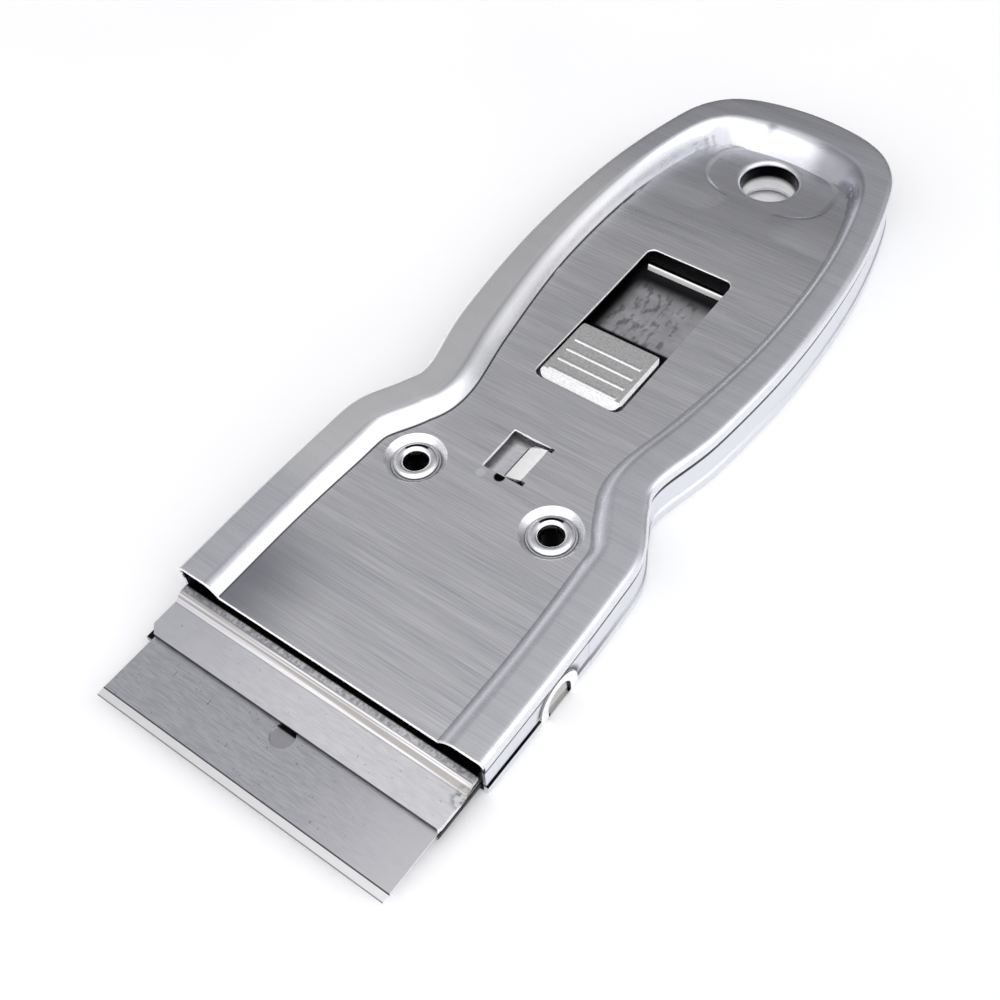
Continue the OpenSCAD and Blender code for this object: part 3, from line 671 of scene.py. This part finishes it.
# %% [markdown]
# ## Razor blade
# The blade is ground along its edge, and its bevel gets a painted highlight, with a
# dark line of painted shade where it starts. The bevel could be a piece with its own
# finish, but it is one solid with the blade, so narrow bands of painted light and
# shade along y set it apart.
# %% Razor blade
# Grinding gives the eye a darker grey than the strip; painted light makes it lighten
# to the right. Its real lines are about 0.02 mm wide; they are drawn a pixel wide.
BLADE = worked_metal("Blade steel, ground", (1.6, 0.14, 0.14), "#c0c0c6", "#d3d3d9", (0.3, 0.4), 0.3)
stain(BLADE, "#646469", patches(BLADE, (0.25, 0.7, 0.3), (0.68, 0.74), (0, 0.7), rough=0.6))
# Painted light: the blade lightens towards the right.
stain(BLADE, "#e9e9ec", zone(BLADE, X, 2, 22))
# The bevel in painted light and shade: a dark line where it starts, a white
# highlight on its face, a warm grey line of shade at the edge.
stain(BLADE, "#57575a", zone(BLADE, Y, -13.7, -13.78))
stain(BLADE, "#fcfcfc", zone(BLADE, Y, -13.86, -13.92))
stain(BLADE, "#9b9794", zone(BLADE, Y, -14.64, -14.72))
dress(BLADE, "razor_blade")

# %% [markdown]
# ## Lower jaw
# The plate under the blade lies in the shade of the strip, so it is painted almost
# black as painted shade, but its tongue, which shows through the hole in the blade,
# keeps the grey of bare steel. It is a very dark metal with one pale area.
# %% Lower jaw
# Painted shade gives the jaw an almost black metal with a faint shine.
BLACK = worked_metal("Jaw steel, painted shade", (1, 1, 1), "#101011", "#202022", (0.35, 0.5), 0.3)
stain(BLACK, "#b3b3b7", zone(BLACK, Y, -6.75, -6.95))
dress(BLACK, "lower_jaw")

# %% [markdown]
# ## Eyelets and rivets
# The eyelets are short plated tubes, rolled over at the top. Mirrors of a white
# room look flat, so the bore is painted black as shade, and dark rings of painted
# shade mark the roll and the edge of the flange.
# %% Eyelets and rivets
EYELET_X, EYELET_Y = 9.27, 26.1
ROLL_RINGS = (1.86, 2.1), (2.36, 2.5)
RING_EDGE = 0.06
FLANGE_RING = (2.55, 2.61), (2.8, 2.7)
# The painted shade on the rings of the roll lies only in a disc at the rear left of each eyelet.
SHADE_SHIFT = (-1.3, 1.95)

# Plating gives the eye the smoothest and brightest metal of the tool.
PLATED = worked_metal("Eyelet steel, plated", (0.8, 0.8, 0.8), "#ecedf1", "#fcfcfc", (0.16, 0.24), 0.15)
# Painted shade: the bore is black.
stain(PLATED, "#030303", zone(PLATED, Z, -0.9, -1.2), zone(PLATED, Z, -4.5, -4.4))
for x in (-EYELET_X, EYELET_X):
    centre = (x, EYELET_Y, 0)
    shade = (x + SHADE_SHIFT[0], EYELET_Y + SHADE_SHIFT[1], 0)
    for inner, outer in ROLL_RINGS:
        ring = disc(PLATED, centre, inner - RING_EDGE, inner), disc(PLATED, centre, outer + RING_EDGE, outer)
        stain(PLATED, "#141416", *ring, disc(PLATED, shade, 1.7, 1.4))
    stain(PLATED, "#1c1c1e", *(disc(PLATED, centre, *edge) for edge in FLANGE_RING))
dress(PLATED, "eyelet_left", "eyelet_right", "jaw_rivets", "button_rivet")

# %% [markdown]
# ## Window tab
# The tab in the window is bent down from its right edge, and its sheared face is
# painted almost white, as a painted highlight. A flat strip turned by some degrees
# would show straight edges, so the bend is a curve, carried along y, and its ends
# draw in as it goes down.
# %% Window tab
TAB_RIGHT, TAB_REACH, TAB_TOP, TAB_DROP = 2.42, 2.3, 0.05, 0.75
TAB_FRONT, TAB_LEN, TAB_T = 29.95, 5.1, 0.08
TAB_DRAW, TAB_LEAN = 0.5, 0.2


def tab_skin():
    """Section z = top - drop * t^1.3 for t from 0 at the right to 1 at the left, swept along y;
    its ends draw in with t^4, and it leans to the front with t."""
    along = np.linspace(0, 1, 24)[:, None]
    across = np.linspace(0, 1, 16)[None]
    x = TAB_RIGHT - TAB_REACH * across + 0 * along
    y = TAB_FRONT + TAB_LEN * along + TAB_DRAW * (0.5 - along) * across**4 - TAB_LEAN * across
    z = TAB_TOP - TAB_DROP * across**1.3 + 0 * along
    top = np.stack([x, y, z], -1)
    return np.concatenate([top, (top - [0, 0, TAB_T])[:, ::-1]], 1)


# Painted highlight: the sheared steel is a bright, slightly warm white, less like a
# mirror than the other metals, and a black line of painted shade runs along the free
# end of the tab.
BRIGHT = worked_metal("Sheared steel, painted highlight", (0.7, 0.7, 0.7), "#fbf7f3", "#ffffff", (0.4, 0.5), 0.1)
BRIGHT.node_tree.nodes["Principled BSDF"].inputs["Metallic"].default_value = 0.25
stain(BRIGHT, "#0b0b0b", zone(BRIGHT, X, 0.34, 0.22), zone(BRIGHT, Y, 40, 38))
add_piece("window_tab_skin", tab_skin(), "housing", BRIGHT)

# %% [markdown]
# ## Turned end of the tongue
# The sliding tongue ends in a low lip, turned up so that its front face shines
# in the slot. A box would do for the face, but its top edge catches the light,
# so the section has a half-round top and is carried across the slot.
# %% Turned end of the tongue
PLATE_TOP, PLATE_END = -1.4, 66.65
TONGUE_LEFT, TONGUE_RIGHT, TONGUE_R, TONGUE_TOP = -4.9, 5.7, 0.15, -0.75


def tongue_lip():
    """Vertical strip with a half circle of TONGUE_R on top, swept along x."""
    turn = np.linspace(0, math.pi, 12)
    y = np.r_[PLATE_END, PLATE_END + TONGUE_R - TONGUE_R * np.cos(turn), PLATE_END + 2 * TONGUE_R]
    z = np.r_[PLATE_TOP, TONGUE_TOP + TONGUE_R * np.sin(turn), PLATE_TOP]
    x = np.linspace(TONGUE_LEFT, TONGUE_RIGHT, 30)[:, None]
    return np.stack([x + 0 * y, y + 0 * x, z + 0 * x], -1)


# Its finish is the painted white highlight of the window tab.
add_piece("tongue_lip", tongue_lip(), "slider", BRIGHT)

# %% [markdown]
# ## Table
# The photo was taken on a white table that runs out of view on every side. A
# curved backdrop would do as well, but the camera looks down and sees no wall,
# so one large flat card under the tool is enough.
# %% Table
TABLE_HALF, TABLE_GAP = 2.0, 0.02 * MM

# Laminate gives the eye an even matt white that keeps the soft shadow.
TABLE = new_material("Table, white laminate", "#fcfcfc", metallic=0.0)
stain(TABLE, "#ffffff", patches(TABLE, (40, 40, 40), (0.3, 0.7), (0, 1), detail=1.0))
TABLE.node_tree.nodes["Principled BSDF"].inputs["Roughness"].default_value = 0.7
mesh = bpy.data.meshes.new("table")
corners = np.array([(-1, -1, 0), (1, -1, 0), (1, 1, 0), (-1, 1, 0)]) * TABLE_HALF
mesh.from_pydata(corners.tolist(), [], [(0, 1, 2, 3)])
mesh.materials.append(TABLE)
card = bpy.data.objects.new("table", mesh)
card.location = (0, 0, -TABLE_GAP)
bpy.context.scene.collection.objects.link(card)
print("table:", 2 * TABLE_HALF, "m wide")

# %% [markdown]
# ## Room
# Metal shows the room that it stands in. A picture of a room would have to be
# read from disk, so the world is worked out: walls that are bright towards the
# table, and a ceiling that is bright to the front right and dim at the back left.
# It gives the flat steel its mid tone and the slopes their shine.
# %% Room
BRIGHT_SIDE = (0.55, -0.5, 0.67)
ROOM_LIMIT = 1.1

ROOM = bpy.data.worlds.new("Room")
ROOM.use_nodes = True
look = add_node(ROOM, "ShaderNodeTexCoord").outputs["Generated"]
slope = add_node(ROOM, "ShaderNodeVectorMath", {0: look, 1: BRIGHT_SIDE}, operation="DOT_PRODUCT")
ceiling = add_node(ROOM, "ShaderNodeMapRange", {
    "Value": slope.outputs["Value"], "From Min": -0.33, "From Max": 0.78, "To Min": 0.0, "To Max": 1.05})
axes = add_node(ROOM, "ShaderNodeSeparateXYZ", {0: look}).outputs
walls = add_node(ROOM, "ShaderNodeMapRange", {
    "Value": axes["Z"], "From Min": 0.0, "From Max": 0.85, "To Min": 0.9, "To Max": 0.0})
rear = add_node(ROOM, "ShaderNodeMapRange", {
    "Value": axes["Y"], "From Min": 0.5, "From Max": 0.75, "To Min": 1.0, "To Max": 0.25})
level = add_node(ROOM, "ShaderNodeMath", {
    0: walls.outputs["Result"], 1: rear.outputs["Result"], 2: ceiling.outputs["Result"]},
    operation="MULTIPLY_ADD")
level = add_node(ROOM, "ShaderNodeMath", {0: level.outputs[0], 1: ROOM_LIMIT}, operation="MINIMUM")
background = ROOM.node_tree.nodes["Background"]
background.inputs["Color"].default_value = colour("#fafafd")
ROOM.node_tree.links.new(level.outputs[0], background.inputs["Strength"])
bpy.context.scene.world = ROOM
print("room: brightest level", ROOM_LIMIT)

# %% [markdown]
# ## Lamps
# The room alone gives hardly any shadow. A sun would draw a hard one, so three
# weak round lamps, each about a metre wide, stand to the right, in front and
# above. They are low enough in power for a white table to stay just white.
# %% Lamps
LAMP_POWER = 1.8


def stand(place, right, up, back):
    """Matrix of an object that stands at a place and is turned to the three axes."""
    axes = np.stack([right, up, back], 1)
    return Matrix.Translation(place) @ Matrix(axes.tolist()).to_4x4()


def soft_lamp(name, place, size):
    """Round lamp of size metres that looks at the middle of the part."""
    data = bpy.data.lights.new(name, "AREA")
    data.shape = "DISK"
    data.size = size
    data.energy = LAMP_POWER
    lamp = bpy.data.objects.new(name, data)
    back = np.array(place) / np.linalg.norm(place)
    right = np.cross(Z, back)
    right /= np.linalg.norm(right)
    lamp.matrix_world = stand(place, right, np.cross(back, right), back)
    bpy.context.scene.collection.objects.link(lamp)


soft_lamp("window right", (0.80, 0.10, 0.70), 1.1)
soft_lamp("window front", (-0.10, -0.85, 0.65), 1.1)
soft_lamp("ceiling", (0.30, -0.40, 1.00), 1.0)
print("lamps:", len(bpy.data.lights))

# %% [markdown]
# ## Camera
# The camera could be placed by eye, but then nothing would line up. It was
# solved from the photo's own perspective: the width and length of the housing
# and the places of its holes fix its place, its turn and its field of view.
# %% Camera
CAMERA_AT = (0.06299, -0.08384, 0.12264)
RIGHT = (0.79929, 0.59722, -0.06686)
DOWN = (0.44064, -0.65809, -0.61054)
FORWARD = (-0.40863, 0.45854, -0.78916)

data = bpy.data.cameras.new("Camera")
data.sensor_width = 36.0
data.lens = 49.62
data.clip_start, data.clip_end = 0.005, 20.0
camera = bpy.data.objects.new("Camera", data)
camera.matrix_world = stand(CAMERA_AT, RIGHT, np.negative(DOWN), np.negative(FORWARD))
bpy.context.scene.collection.objects.link(camera)
bpy.context.scene.camera = camera
bpy.context.scene.view_settings.view_transform = "Standard"
print("camera lens:", data.lens, "mm")
